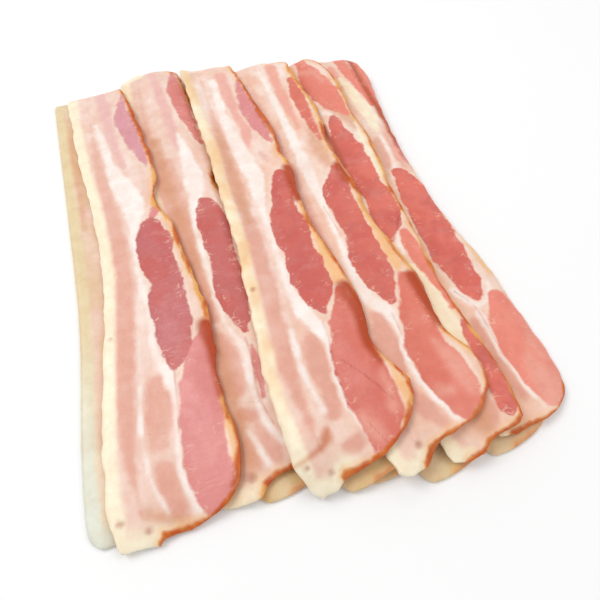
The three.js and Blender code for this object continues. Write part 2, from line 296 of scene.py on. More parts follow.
        "mauve": [[(77.2, 46, 1.2), (76, 35, 2.6), (75.6, 22, 2.4), (76.4, 12, 1)]],
        "light": [[(78.5, -93, 1.6), (80, -101, 4.5), (80, -110, 6)], [(83, -84, 1.2), (84, -94, 1.6)]],
        "pale": [
            [(66, 35, 2.2), (65.6, 26, 3), (64.8, 17, 2)],
            [(66, -74, 2.4), (67, -90, 2.4), (68.6, -106, 2.4)],
            [(73, 44, 2.2), (72, 26, 3), (74, 12, 2.4)],
        ],
        "tan": [
            [(78.8, 102, 1.6), (80.5, 88, 2.6), (79.6, 70, 2.6), (77.5, 50, 2.6), (75.8, 34, 2.8),
             (76, 18, 2)],
        ],
        "soft": [[(72.6, 30, 1.8), (72, 20, 2)], [(61.5, 96, 2), (62, 80, 1.6)]],
        "butter": [[(63.6, 86, 1.8), (66.4, 70, 3.6), (68, 55, 3.6), (67.8, 42, 1.6)]],
        "gold": [[(81.5, -22, 1.4), (83, -40, 2.6), (83, -54, 1.6)]],
        "rust": [[(80, 62, 0.8), (79, 48, 1.4), (78.4, 34, 1.4), (78.4, 22, 0.8)]],
        "line": [[(64, -58, 0.3), (69, -68, 0.3), (69.5, -84, 0.3)]],
    },
    "lower_1": {
        # Painted shade beside the fat side of the rasher above
        "tan": [[(-82.5, 92, 1.2), (-81, 78, 2.4), (-79.4, 58, 2.6), (-78, 36, 2), (-77, 14, 1)]],
    },
}

# Fields that chains are drawn in, and those of them that are lean
FIELDS = (
    "pale", "soft", "tan", "white", "butter", "gold", "mauve", "pink", "light", "dark", "deep",
    "burnt", "rust", "line", "spot", "crease",
)
LEAN_FIELDS = ("dark", "deep", "pink", "mauve")

# Distance between the points of a chain, depth where a field has no chain, and what keeps grains apart
CHAIN_STEP = 0.6
FAR_AWAY = -30.0
GRAIN_APART = 37.0

# Breadth of the cream edge along the fat side
CREAM_STRIP = 5.0

# The pale streak beside it: distance from the fat side and half width, from far to near
PALE_STREAK = [(10, -1), (9, 1.2), (8.3, 3.4), (8.6, 3.9), (8.6, 3.6), (11, -1.5)]

# How much narrower the rind shows along a rasher's side
RIND_SETBACK = {"upper_6": 1.6}

# Warm shade beside the rashers above: its reach, its fall, and its strength on each rasher
SHADE_REACH = 11.0
SHADE_FALL = 1.6
SHADE_STRENGTH = {"upper_2": 0.45, "upper_4": 0.15, "upper_5": 0.35, "upper_6": 0.45}
LOWER_SHADE = 0.4

# Beside a fat side it starts weaker and falls faster
FAT_SIDE_START = SHADE_REACH / 3
FAT_SIDE_FALL = 2.2

# Waves that make painted borders uneven: size and depth
BORDER_WAVES = ((8, 5.5), (2.8, 1.6))
WAVE_DETAIL = 3

# All noise: its middle value, its roughness, and the detail of the relief's noise
NOISE_MIDDLE = 0.5
NOISE_ROUGHNESS = 0.55
RELIEF_DETAIL = 2.0

# Coats of colour: share of the waves that the border follows, and the depths between which a coat comes in
BORDERS = {
    "pale": (0.8, -1.6, 1.6),
    "soft": (0.9, -1.4, 1.4),
    "seam": (0.8, -2.6, -0.8),
    "tan": (0.8, -2.4, 2.4),
    "white": (0.7, -1.2, 1.2),
    "cream": (0.5, -1.4, 1.4),
    "tip": (1.0, -9.5, -2.5),
    "butter": (1.0, -1.2, 1.2),
    "gold": (1.0, -1.4, 1.4),
    "near_rind": (1.0, -4.5, -1.0),
    "light": (1.0, -2.6, 2.6),
    "mauve": (0.8, -0.8, 0.8),
    "pink": (0.8, -0.7, 0.7),
    "dark": (0.9, -0.5, 0.5),
    "deep": (0.4, -1.4, 1.4),
    "burnt": (0.0, -2.4, 1.2),
    "rust": (0.6, -1.2, 1.2),
    "line": (0.15, -0.5, 0.5),
    "spot": (0.7, -1.2, 1.2),
    "crease": (0.2, -1.6, 1.6),
}

# How much a coat hides what is under it, where that isn't all
COVER = {
    "tan": 0.75,
    "butter": 0.9,
    "gold": 0.9,
    "near_rind": 0.7,
    "light": 0.8,
    "deep": 0.95,
    "line": 0.6,
    "spot": 0.75,
    "crease": 0.9,
}
PALE_COVER = {"upper": 1.0, "lower": 0.4}
RIND_COVER = {"upper": 1.0, "lower": 0.3}
END_COVER = {"upper": 0.9, "lower": 0.2}
PEACH_COVER = 0.5
SEARED_COVER = 0.9
THREAD_COVER = 0.5
CLOUD_COVER = 0.5
PINK_MOTTLE = 0.22
DARK_MOTTLE = 0.6
FIBRE_TINT = 0.08

# The least and most that pale streaks and white fat show
PALE_LEAST_MOST = (0.6, 0.95)
WHITE_LEAST_MOST = (0.55, 1.0)

# The rind's uneven breadth, its share of the waves, and the depths of its colour at the sides and near end
RIND_BREADTH = 3.0
RIND_WAVES = 0.5
RIND_EDGE = (-2.4, -0.9)
SEARED_END = (-2.5, -0.8)

# Depths: burnt lean fades away from the rind, and threads keep to lean borders, clear of some fields
BURNT_BY_RIND = (-12.0, -2.0)
LEAN_BORDER = (6.0, 1.0)
CLEAR_OF_FIELD = (1.0, -2.0)

# Shapeless patches: size, detail, the noise between which they come in, and their strength
PATCHES = {
    "peach": (18, 3, 0.35, 0.65, 1.0),
    "pale": (38, 2, 0.15, 0.45, 1.0),
    "seam": (14, 2, 0.3, 0.6, 0.6),
    "white": (17, 2, 0.25, 0.6, 1.0),
    "golden": (15, 2, 0.25, 0.65, 1.0),
    "straw": (14, 2, 0.3, 0.6, 1.0),
    "mottle": (11, 3, 0.4, 0.7, 1.0),
    "red": (13, 2, 0.46, 0.62, 0.42),
    "rosy": (6, 3, 0.5, 0.72, 0.4),
    "thread": (4.3, 2, 0.5, 0.62, 1.0),
    "seared": (7, 2, 0.35, 0.65, 1.0),
    "cloudy": (6, 4, 0.3, 0.7, 1.0),
    "dusty": (2.2, 3, 0.4, 0.7, 0.35),
    "moist": (5, 2, 0.2, 0.8, 1.0),
}

# Streaks by the grain: size across and along it, detail, the noise between which they come in, and strength
STREAKS = {
    "peach": (5, 60, 2, 0.4, 0.6, 0.5),
    "fibre": (9, 1.8, 3, 0.4, 0.7, 1.0),
    "speck": (1.8, 1.0, 1, 0.74, 0.8, 0.3),
    "rind": (4, 16, 2, 0.4, 0.6, 1.0),
}

# Grain of the rind's breadth and of the threads, as size across, size along and detail, and a thread's width
BREADTH_GRAIN = (30, 18, 2)
THREAD_GRAIN = (7, 4, 2)
THREAD_WIDTH = (0.03, 0.008)

# Places across the pack between which colours change, in metres
WARM_ACROSS = (-0.055, 0.035)
BRIGHT_ACROSS = (0.025, 0.06)
INNER_ACROSS = (-0.075, -0.055)

# Share of the warm colours between which the cream turns golden
GOLDEN_WARMTH = (0.0, 0.5)

# Places along the pack between which colours change, in metres
PALE_ALONG = (0.06, -0.05)
PEACH_ALONG = (-0.02, -0.075)
GOLDEN_ALONG = (-0.1, -0.07)
GREENISH_ALONG = (-0.02, -0.11)
GOLDEN_STRAW_ALONG = (-0.08, -0.095)

# Moist surface: fine bumps of fibres and pores, roughness, and light that goes a little way in
FIBRE_BUMP = 0.25
PORE_BUMP = 0.5
PORE_SIZE = 0.9
BUMP_STRENGTH = 0.3
BUMP_DISTANCE = 0.5
ROUGH_LEAST_MOST = (0.26, 0.48)
SPECULAR = 0.4
GLOW_WEIGHT = 0.1
GLOW_RADIUS = (1.0, 0.45, 0.3)
GLOW_DEPTH = 2.0

# Studio, in metres: area lights by place, size and power, and a floor just under the pack
LIGHTS = {
    "window_left": ((-0.6, 0.3, 0.9), 0.6, 5.0),
    "fill_right": ((0.7, -0.2, 0.9), 0.9, 3.0),
    "glint_behind": ((0.14, 0.62, 0.75), 0.2, 0.45),
}
WORLD_COLOUR = (1.0, 1.0, 1.0, 1.0)
WORLD_STRENGTH = 0.57
FLOOR_SIZE = 6.0
FLOOR_LEVEL = -0.0002
FLOOR_ROUGHNESS = 0.9


def srgb(red, green, blue):
    """A colour given as 0 to 255, as the linear values that shaders take."""
    parts = [c / 255 for c in (red, green, blue)]
    return tuple(c / 12.92 if c <= 0.04045 else ((c + 0.055) / 1.055) ** 2.4 for c in parts) + (1.0,)


# Colours of fat, lean, rind, marks, painted shade and floor
FAT_WHITE = srgb(255, 245, 239)
FAT_PALE = srgb(250, 231, 221)
FAT_WARM = srgb(247, 224, 206)
FAT_PEACH = srgb(241, 204, 187)
FAT_APRICOT = srgb(246, 204, 182)
FAT_CREAM = srgb(255, 244, 216)
FAT_GOLD = srgb(248, 208, 156)
FAT_AMBER = srgb(248, 196, 138)
FAT_GOLDEN_STRAW = srgb(232, 202, 138)
FAT_STRAW = srgb(240, 220, 178)
FAT_GREENISH = srgb(228, 231, 215)
FAT_IVORY = srgb(233, 214, 172)
TAN_AND_PAINTED_SHADE = srgb(222, 164, 128)
PALE_LEAN = srgb(231, 172, 153)
SOFT_COOL = srgb(238, 194, 188)
SOFT_WARM = srgb(242, 176, 158)
MAUVE_LEAN = srgb(222, 158, 166)
PINK_COOL = srgb(226, 143, 140)
PINK_WARM = srgb(219, 114, 96)
PINK_BRIGHT = srgb(240, 142, 124)
PINK_LIGHT = srgb(240, 168, 150)
DARK_COOL = srgb(200, 110, 110)
DARK_WARM = srgb(217, 110, 95)
DARK_BRIGHT = srgb(232, 124, 108)
DARK_DUSK = srgb(196, 102, 96)
DARK_RED = srgb(208, 86, 76)
DEEP_LEAN = srgb(190, 82, 52)
BURNT_LEAN = srgb(184, 70, 26)
RIND_ORANGE = srgb(210, 100, 22)
RIND_GOLD = srgb(236, 174, 92)
RIND_BROWN = srgb(188, 74, 14)
SPOT_BROWN = srgb(190, 124, 98)
# Tan, partly the fat's own colour and partly painted shade
LINE_TINT = srgb(202, 138, 128)
SHADE_TAN = srgb(234, 198, 154)
SHADE_GOLD = srgb(232, 184, 136)
# Painted shade in the crease
CREASE_SHADE = srgb(216, 148, 104)
CLOUD_TINT = srgb(242, 229, 222)
FLOOR_WHITE = srgb(252, 252, 252)
SHADE_TINT = {"upper": SHADE_TAN, "lower": SHADE_GOLD}


def add_node(tree, kind, inputs=None, **settings):
    """A node with its settings made and its inputs set or linked, by name or by place."""
    node = tree.nodes.new(kind)
    for name, value in settings.items():
        setattr(node, name, value)
    for key, value in (inputs or {}).items():
        if isinstance(value, bpy.types.NodeSocket):
            tree.links.new(value, node.inputs[key])
        else:
            node.inputs[key].default_value = value
    return node


def is_rim(edge):
    """Whether an edge parts a rasher's upright side from its top or its underside."""
    if len(edge.link_faces) != 2:
        return False
    tilts = sorted(abs(face.normal.z) for face in edge.link_faces)
    return tilts[0] < LEVEL_TILT < tilts[1]


def mark_corners(bm):
    """Notes where a rasher's near end turns sharply, so that rounding leaves its corners."""
    bm.normal_update()
    sharpness = bm.verts.layers.float.new("corner")
    for vert in bm.verts:
        rim = [edge.other_vert(vert).co - vert.co for edge in vert.link_edges if is_rim(edge)]
        if len(rim) == 2 and vert.co.y < 0 and math.pi - rim[0].angle(rim[1]) > CORNER_TURN:
            vert[sharpness] = CORNER_SHARPNESS


def merged_copy(node):
    """A CAD node's mesh with its loose triangles joined into a closed grid of quads."""
    bm = bmesh.new()
    bm.from_mesh(node.data)
    bmesh.ops.remove_doubles(bm, verts=bm.verts, dist=MERGE_DISTANCE * MM)
    bmesh.ops.join_triangles(bm, faces=bm.faces, angle_face_threshold=math.pi, angle_shape_threshold=math.pi)
    mark_corners(bm)
    mesh = bpy.data.meshes.new(node.name + "_surface")
    bm.to_mesh(mesh)
    bm.free()
    return mesh


def rim_of(mesh):
    """Points along a rasher's top rim: its fat side, pale tip, the rest of its near end, and rind side."""
    bm = bmesh.new()
    bm.from_mesh(mesh)
    bm.normal_update()
    rim = {"fat": [], "tip": [], "end": [], "rind": []}
    low = min(v.co.y for v in bm.verts)
    near_xs = [v.co.x for v in bm.verts if v.co.y < low + NEAR_END * MM]
    tip_end = min(near_xs) + TIP_SHARE * (max(near_xs) - min(near_xs))
    for edge in filter(is_rim, bm.edges):
        upright, level = sorted(edge.link_faces, key=lambda face: abs(face.normal.z))
        if level.normal.z < 0:
            continue
        start, end = (Vector(v.co) / MM for v in edge.verts)
        steps = max(1, round((end - start).length / RIM_STEP))
        points = [start.lerp(end, k / steps)[:2] for k in range(steps)]
        out = upright.normal
        if out.x < -SIDE_TURN:
            rim["fat"] += points
        elif out.y < -END_TURN:
            rim["tip" if (start.x + end.x) / 2 * MM < tip_end else "end"] += points
        elif out.x > SIDE_TURN:
            rim["rind"] += points
    bm.free()
    return {name: np.array(points) for name, points in rim.items()}


def nearest(points, rim):
    """Distance from each plan point to the nearest of the rim's points."""
    best = np.full(len(points), np.inf)
    for spot in rim:
        best = np.minimum(best, np.hypot(points[:, 0] - spot[0], points[:, 1] - spot[1]))
    return best


def chain_samples(chain):
    """A chain's points filled in along a smooth curve."""
    if len(chain) == 1:
        return np.array(chain, float)
    knots = np.array([chain[0], *chain, chain[-1]], float)
    samples = []
    for a, b, c, d in zip(knots, knots[1:], knots[2:], knots[3:]):
        count = max(2, round(float(np.hypot(*(c - b)[:2])) / CHAIN_STEP))
        t = np.arange(count)[:, None] / count
        bend = 2 * b + (c - a) * t + (2 * a - 5 * b + 4 * c - d) * t**2 + (3 * b - a - 3 * c + d) * t**3
        samples.append(bend / 2)
    return np.vstack(samples + [knots[-1:]])


def depth_inside(points, chains):
    """How far each plan point lies inside the nearest chain, in millimetres, negative outside."""
    depth = np.full(len(points), FAR_AWAY)
    for chain in chains:
        for x, y, half in chain_samples(chain):
            depth = np.maximum(depth, half - np.hypot(points[:, 0] - x, points[:, 1] - y))
    return depth


def streak_depth(offset, along, stations):
    """How far a point lies inside a streak that follows the fat side."""
    places = np.linspace(0, 1, len(stations))
    middle = np.interp(along, places, [s[0] for s in stations])
    half = np.interp(along, places, [s[1] for s in stations])
    return half - np.abs(offset - middle)


def plan_points(mesh):
    """A mesh's vertices, and their places on the plan along the photograph's sight lines."""
    flat = np.empty(len(mesh.vertices) * 3, np.float32)
    mesh.vertices.foreach_get("co", flat)
    place = flat.reshape(-1, 3) / MM
    seen = place - PLAN_ORIGIN
    reach = (EYE[2] - PLAN_HEIGHT) / (EYE[2] - seen[:, 2:])
    return place, EYE + (seen - EYE) * reach


def store(mesh, name, values):
    """Stores one value for each vertex."""
    attribute = mesh.attributes.new(name, "FLOAT", "POINT")
    attribute.data.foreach_set("value", np.asarray(values, np.float32))


def shade_share(place, rims_above):
    """How much shade falls on each point from the rims of the rashers over it, the rind sides most."""
    gap = np.full(len(place), np.inf)
    for rim in rims_above:
        gap = np.minimum(gap, nearest(place, np.vstack((rim["rind"], rim["end"]))))
        gap = np.minimum(gap, FAT_SIDE_FALL * nearest(place, rim["fat"]) + FAT_SIDE_START)
    near = np.clip(1 - gap / SHADE_REACH, 0, 1)
    return near**SHADE_FALL


def store_grain(mesh, across, along, number):
    """Stores a point's place across and along its rasher, to lay streaks and fibres by."""
    attribute = mesh.attributes.new("grain", "FLOAT_VECTOR", "POINT")
    vectors = np.stack((across, along, np.full(len(along), GRAIN_APART * number)), axis=1)
    attribute.data.foreach_set("vector", vectors.astype(np.float32).ravel())


def paint_fields(mesh, name, rims):
    """Stores how deep each point lies in the muscles, streaks and edges of its rasher."""
    number = LAID_DOWN.index(name)
    rim = rims[name]
    place, plan = plan_points(mesh)
    pattern = PATTERNS.get(name, {})
    depths = {field: depth_inside(plan, pattern.get(field, [])) for field in FIELDS}
    top, bottom = place[:, 1].max(), place[:, 1].min()
    order = np.argsort(rim["fat"][:, 1])
    across = place[:, 0] - np.interp(place[:, 1], rim["fat"][order, 1], rim["fat"][order, 0])
    along = (top - place[:, 1]) / (top - bottom)
    store_grain(mesh, across, top - place[:, 1], number)
    depths["pale"] = np.maximum(depths["pale"], streak_depth(across, along, PALE_STREAK))
    depths["cream"] = CREAM_STRIP - nearest(place, rim["fat"])
    depths["tip"] = -nearest(place, rim["tip"])
    depths["end"] = -nearest(place, rim["end"])
    depths["rind"] = np.maximum(depths["end"], -nearest(place, rim["rind"]) - RIND_SETBACK.get(name, 0.0))
    depths["lean"] = np.maximum.reduce([depths[field] for field in LEAN_FIELDS])
    strength = SHADE_STRENGTH.get(name, LOWER_SHADE)
    depths["shade"] = strength * shade_share(place, [rims[above] for above in LAID_DOWN[number + 1 :]])
    for field, values in depths.items():
        store(mesh, field, values)


def surface_tree():
    """Rounds a rasher's grid of quads into a smooth slice."""
    tree = bpy.data.node_groups.new("rasher_surface", "GeometryNodeTree")
    face = tree.interface
    face.new_socket("Geometry", in_out="INPUT", socket_type="NodeSocketGeometry")
    face.new_socket("Levels", in_out="INPUT", socket_type="NodeSocketInt")
    face.new_socket("Geometry", in_out="OUTPUT", socket_type="NodeSocketGeometry")
    given = add_node(tree, "NodeGroupInput").outputs
    inputs = {"Name": "corner"}
    corner = add_node(tree, "GeometryNodeInputNamedAttribute", inputs, data_type="FLOAT").outputs[0]
    inputs = {"Mesh": given["Geometry"], "Level": given["Levels"], "Vertex Crease": corner}
    rounded = add_node(tree, "GeometryNodeSubdivisionSurface", inputs)
    add_node(tree, "NodeGroupOutput", {"Geometry": rounded.outputs["Mesh"]})
    return tree


def relief_tree():
    """Gives a rasher its relief: lean that sinks, an uneven face and ragged cut edges."""
    tree = bpy.data.node_groups.new("rasher_relief", "GeometryNodeTree")
    face = tree.interface
    face.new_socket("Geometry", in_out="INPUT", socket_type="NodeSocketGeometry")
    sizes = [form + " size" for form in ("Swell", "Grain", "Ragged")]
    for name in ("Lean dip", "Swell height", "Grain height", "Ragged depth", *sizes, "Seed"):
        face.new_socket(name, in_out="INPUT", socket_type="NodeSocketFloat")
    face.new_socket("Material", in_out="INPUT", socket_type="NodeSocketMaterial")
    face.new_socket("Geometry", in_out="OUTPUT", socket_type="NodeSocketGeometry")
    given = add_node(tree, "NodeGroupInput").outputs

    def maths(operation, *values):
        return add_node(tree, "ShaderNodeMath", dict(enumerate(values)), operation=operation).outputs[0]

    def bumps(size, height):
        scale = maths("DIVIDE", 1.0, size)
        inputs = {"Scale": scale, "W": given["Seed"], "Detail": RELIEF_DETAIL}
        noise = add_node(tree, "ShaderNodeTexNoise", inputs, noise_dimensions="4D")
        return maths("MULTIPLY", maths("SUBTRACT", noise.outputs[0], NOISE_MIDDLE), height)

    depth = add_node(tree, "GeometryNodeInputNamedAttribute", {"Name": "lean"}, data_type="FLOAT").outputs[0]
    inputs = {"Value": depth, 1: LEAN_SLOPE[0], 2: LEAN_SLOPE[1]}
    inside = add_node(tree, "ShaderNodeMapRange", inputs, interpolation_type="SMOOTHSTEP")
    dip = maths("MULTIPLY", inside.outputs[0], given["Lean dip"])
    swell = bumps(given["Swell size"], given["Swell height"])
    grain = bumps(given["Grain size"], given["Grain height"])
    height = maths("SUBTRACT", maths("ADD", swell, grain), dip)
    normal = add_node(tree, "GeometryNodeInputNormal").outputs[0]
    facing = add_node(tree, "ShaderNodeSeparateXYZ", {0: normal}).outputs
    lift = maths("MULTIPLY", height, maths("MAXIMUM", facing["Z"], 0.0))
    ragged = bumps(given["Ragged size"], given["Ragged depth"])
    sideways = {axis: maths("MULTIPLY", ragged, facing[axis]) for axis in ("X", "Y")}
    offset = add_node(tree, "ShaderNodeCombineXYZ", {**sideways, "Z": lift}).outputs[0]
    moved = add_node(tree, "GeometryNodeSetPosition", {"Geometry": given["Geometry"], "Offset": offset})
    smooth = add_node(tree, "GeometryNodeSetShadeSmooth", {0: moved.outputs[0]})
    whole = add_node(tree, "GeometryNodeRealizeInstances", {0: smooth.outputs[0]})
    inputs = {"Geometry": whole.outputs[0], "Material": given["Material"]}
    finish = add_node(tree, "GeometryNodeSetMaterial", inputs)
    add_node(tree, "NodeGroupOutput", {"Geometry": finish.outputs[0]})
    return tree


def grown(obj, tree, **values):
    """The plain mesh that a Geometry Nodes tree makes of an object."""
    modifier = obj.modifiers.new(tree.name, "NODES")
    modifier.node_group = tree
    sockets = {item.name: item.identifier for item in tree.interface.items_tree if item.in_out == "INPUT"}
    for name, value in values.items():
        modifier[sockets[name.replace("_", " ")]] = value
    evaluated = obj.evaluated_get(bpy.context.evaluated_depsgraph_get())
    mesh = bpy.data.meshes.new_from_object(evaluated)
    obj.modifiers.remove(modifier)
    return mesh


class Brush:
    """Shader nodes that paint a rasher, in millimetres."""

    def __init__(self, tree):
        self.tree = tree
        self.place = add_node(tree, "ShaderNodeTexCoord").outputs["Object"]
        self.side = add_node(tree, "ShaderNodeSeparateXYZ", {0: self.place}).outputs
        self.grain = add_node(tree, "ShaderNodeAttribute", attribute_name="grain").outputs["Vector"]
        waves = [self.part(self.swing(self.noise(size, WAVE_DETAIL)), depth) for size, depth in BORDER_WAVES]
        self.wobble = self.maths("ADD", *waves)

    def maths(self, operation, *values):
        """What one operation makes of some values."""
        return add_node(self.tree, "ShaderNodeMath", dict(enumerate(values)), operation=operation).outputs[0]

    def part(self, *shares):
        """The product of some shares."""
        whole = shares[0]
        for share in shares[1:]:
            whole = self.maths("MULTIPLY", whole, share)
        return whole

    def swing(self, noise):
        """Noise brought down so that it swings about zero."""
        return self.maths("SUBTRACT", noise, NOISE_MIDDLE)

    def between(self, share, least, most):
        """A share of 0 to 1, brought between two values."""
        return self.maths("ADD", self.part(share, most - least), least)

    def ramp(self, value, low, high):
        """A smooth rise from 0 at one value to 1 at another."""
        inputs = {"Value": value, 1: low, 2: high}
        return add_node(self.tree, "ShaderNodeMapRange", inputs, interpolation_type="SMOOTHSTEP").outputs[0]

    def noise_at(self, place, scale, detail):
        """Noise at a place, of a scale that multiplies it."""
        inputs = {"Vector": place, "Scale": scale, "Detail": detail, "Roughness": NOISE_ROUGHNESS}
        return add_node(self.tree, "ShaderNodeTexNoise", inputs).outputs[0]

    def noise(self, size, detail=2):
        """Noise of the same size in every direction."""
        return self.noise_at(self.place, 1 / (size * MM), detail)

    def grained(self, across, along, detail):
        """Noise of one size across a rasher and another along it."""
        inputs = {"Vector": self.grain, "Scale": (1 / across, 1 / along, 1.0)}
        place = add_node(self.tree, "ShaderNodeMapping", inputs).outputs[0]
        return self.noise_at(place, 1.0, detail)

    def patches(self, name):
        """Where the patches of one name show, and how strongly."""
        size, detail, low, high, strength = PATCHES[name]
        return self.part(self.ramp(self.noise(size, detail), low, high), strength)

    def streaks(self, name):
        """Where the streaks of one name show, and how strongly."""
        across, along, detail, low, high, strength = STREAKS[name]
        return self.part(self.ramp(self.grained(across, along, detail), low, high), strength)

    def field(self, name):
        """A value that is stored on the rasher."""
        return add_node(self.tree, "ShaderNodeAttribute", attribute_name=name).outputs["Fac"]

    def clear_of(self, name):
        """Where a point lies outside a field."""
        return self.ramp(self.field(name), *CLEAR_OF_FIELD)

    def mask(self, name, field=None):
        """Where a coat lies, inside its own field or another, with an uneven border."""
        uneven, outer, inner = BORDERS[name]
        depth = self.maths("ADD", self.field(field or name), self.part(self.wobble, uneven))
        return self.ramp(depth, outer, inner)

    def mix(self, share, first, second, blend="MIX"):
        """A first colour changed by a share of a second."""
        inputs = {0: share, 6: first, 7: second}
        return add_node(self.tree, "ShaderNodeMix", inputs, data_type="RGBA", blend_type=blend).outputs[2]

    def coat(self, colour, name, tint, field=None, blend="MIX"):
        """A colour with a coat of a tint over it."""
        share = self.part(self.mask(name, field), COVER.get(name, 1.0))
        return self.mix(share, colour, tint, blend)


def plain_fat(brush, warmth, layer):
    """Pale fat with peach, faintly lean and white streaks, and tan that is partly its own colour and partly
    painted shade.
    """
    along = brush.side["Y"]
    peach = FAT_IVORY if layer == "lower" else brush.mix(warmth, FAT_PEACH, FAT_APRICOT)
    fat = brush.mix(brush.patches("peach"), FAT_PALE, peach)
    fat = brush.mix(brush.streaks("peach"), fat, peach)
    fat = brush.mix(brush.part(brush.ramp(along, *PEACH_ALONG), PEACH_COVER), fat, peach)
    stronger = brush.between(brush.ramp(along, *PALE_ALONG), *PALE_LEAST_MOST)
    patchy = brush.part(brush.patches("pale"), stronger, PALE_COVER[layer])
    fat = brush.mix(brush.part(brush.mask("pale"), patchy), fat, PALE_LEAN)
    fat = brush.coat(fat, "soft", brush.mix(warmth, SOFT_COOL, SOFT_WARM))
    seam = brush.part(brush.mask("seam", field="lean"), brush.patches("seam"))
    fat = brush.mix(seam, fat, FAT_WARM)
    # Tan, partly the fat's own colour and partly painted shade beside the rashers above
    fat = brush.coat(fat, "tan", TAN_AND_PAINTED_SHADE)
    bright = brush.between(brush.patches("white"), *WHITE_LEAST_MOST)
    return brush.mix(brush.part(brush.mask("white"), bright), fat, FAT_WHITE)


def upper_cream(brush, warmth):
    """The cream of an upper rasher's fat side, golden in patches towards the right of the pack."""
    golden = brush.part(brush.ramp(warmth, *GOLDEN_WARMTH), brush.patches("golden"))
    golden = brush.part(golden, brush.ramp(brush.side["Y"], *GOLDEN_ALONG))
    return brush.mix(golden, FAT_CREAM, FAT_GOLD)


def lower_cream(brush, fat):
    """A lower rasher's fat and the cream of its fat side, golden straw away from the pack's left edge, the
    fat only towards the near end.
    """
    across, along = brush.side["X"], brush.side["Y"]
    golden_straw = brush.mix(brush.patches("straw"), FAT_GOLDEN_STRAW, FAT_STRAW)
    inner = brush.ramp(across, *INNER_ACROSS)
    cream = brush.mix(brush.ramp(along, *GREENISH_ALONG), FAT_IVORY, FAT_GREENISH)
    fat = brush.mix(brush.part(inner, brush.ramp(along, *GOLDEN_STRAW_ALONG)), fat, golden_straw)
    return fat, brush.mix(inner, cream, golden_straw)


def paint_fat(brush, warmth, layer):
    """Fat with a cream strip on one side and golden fat by the rind."""
    fat = plain_fat(brush, warmth, layer)
    if layer == "lower":
        fat, cream = lower_cream(brush, fat)
    else:
        cream = upper_cream(brush, warmth)
    fat = brush.mix(brush.maths("MAXIMUM", brush.mask("cream"), brush.mask("tip")), fat, cream)
    fat = brush.coat(fat, "butter", FAT_CREAM)
    fat = brush.coat(fat, "gold", FAT_AMBER)
    return brush.coat(fat, "near_rind", FAT_AMBER, field="rind")


def lean_colours(brush, warmth, brightness, fibre):
    """Colours of the muscles, in the order they are painted."""
    mottle = brush.patches("mottle")
    pink = brush.mix(brightness, brush.mix(warmth, PINK_COOL, PINK_WARM), PINK_BRIGHT)
    pink = brush.mix(brush.part(mottle, PINK_MOTTLE), pink, PINK_LIGHT)
    pink = brush.coat(pink, "light", PINK_LIGHT)
    dark = brush.mix(brightness, brush.mix(warmth, DARK_COOL, DARK_WARM), DARK_BRIGHT)
    dark = brush.mix(brush.part(mottle, DARK_MOTTLE), dark, DARK_DUSK)
    dark = brush.mix(brush.patches("red"), dark, DARK_RED)
    dark = brush.mix(brush.part(fibre, FIBRE_TINT), dark, DARK_DUSK)
    dark = brush.mix(brush.patches("rosy"), dark, PINK_COOL)
    mauve = brush.mix(warmth, MAUVE_LEAN, PINK_COOL)
    return {"mauve": mauve, "pink": pink, "dark": dark, "deep": DEEP_LEAN, "burnt": BURNT_LEAN}


def paint_lean(brush, warmth, brightness, colour):
    """Lean muscles over the fat: the colour, where it is lean, and the fibres across it."""
    fibre = brush.streaks("fibre")
    lean = 0.0
    for name, tint in lean_colours(brush, warmth, brightness, fibre).items():
        share = brush.part(brush.mask(name), COVER.get(name, 1.0))
        if name == "burnt":
            share = brush.part(share, brush.ramp(brush.field("rind"), *BURNT_BY_RIND))
        colour = brush.mix(share, colour, tint)
        lean = brush.maths("MAXIMUM", lean, share)
    return colour, lean, fibre


def paint_threads(brush, colour, lean):
    """Thin pale threads at the borders of the lean, and white specks all over it."""
    border = brush.ramp(brush.field("lean"), *LEAN_BORDER)
    border = brush.part(border, brush.clear_of("deep"), brush.clear_of("burnt"))
    from_line = brush.maths("ABSOLUTE", brush.swing(brush.grained(*THREAD_GRAIN)))
    threads = brush.part(brush.ramp(from_line, *THREAD_WIDTH), brush.patches("thread"))
    colour = brush.mix(brush.part(threads, border, lean, THREAD_COVER), colour, FAT_APRICOT)
    return brush.mix(brush.part(brush.streaks("speck"), lean), colour, FAT_WHITE)


def paint_rind(brush, colour, layer):
    """The rind along one side, and the brown of the near end and the rusty places."""
    breadth = brush.part(brush.swing(brush.grained(*BREADTH_GRAIN)), RIND_BREADTH)
    uneven = brush.maths("ADD", breadth, brush.part(brush.wobble, RIND_WAVES))
    edge = brush.ramp(brush.maths("ADD", brush.field("rind"), uneven), *RIND_EDGE)
    rind = brush.mix(brush.streaks("rind"), RIND_GOLD, RIND_ORANGE)
    colour = brush.mix(brush.part(edge, brush.clear_of("burnt"), RIND_COVER[layer]), colour, rind)
    end = brush.ramp(brush.maths("ADD", brush.field("end"), uneven), *SEARED_END)
    brown = brush.maths("MAXIMUM", brush.mask("rust"), brush.part(end, END_COVER[layer]))
    seared = brush.mix(brush.patches("seared"), RIND_ORANGE, RIND_BROWN)
    return brush.mix(brush.part(brown, SEARED_COVER), colour, seared)


def paint_marks(brush, colour, layer):
    """Fine lines and spots, painted shade along the crease, the shade of the rashers above, and slight
    clouds.
    """
    colour = brush.coat(colour, "line", LINE_TINT, blend="MULTIPLY")
    colour = brush.coat(colour, "spot", SPOT_BROWN)
    # Painted shade along the crease
    colour = brush.coat(colour, "crease", CREASE_SHADE, blend="MULTIPLY")
    colour = brush.mix(brush.field("shade"), colour, SHADE_TINT[layer], "MULTIPLY")
    cloudy = brush.maths("ADD", brush.patches("cloudy"), brush.patches("dusty"))
    return brush.mix(brush.part(cloudy, CLOUD_COVER), colour, CLOUD_TINT, "MULTIPLY")


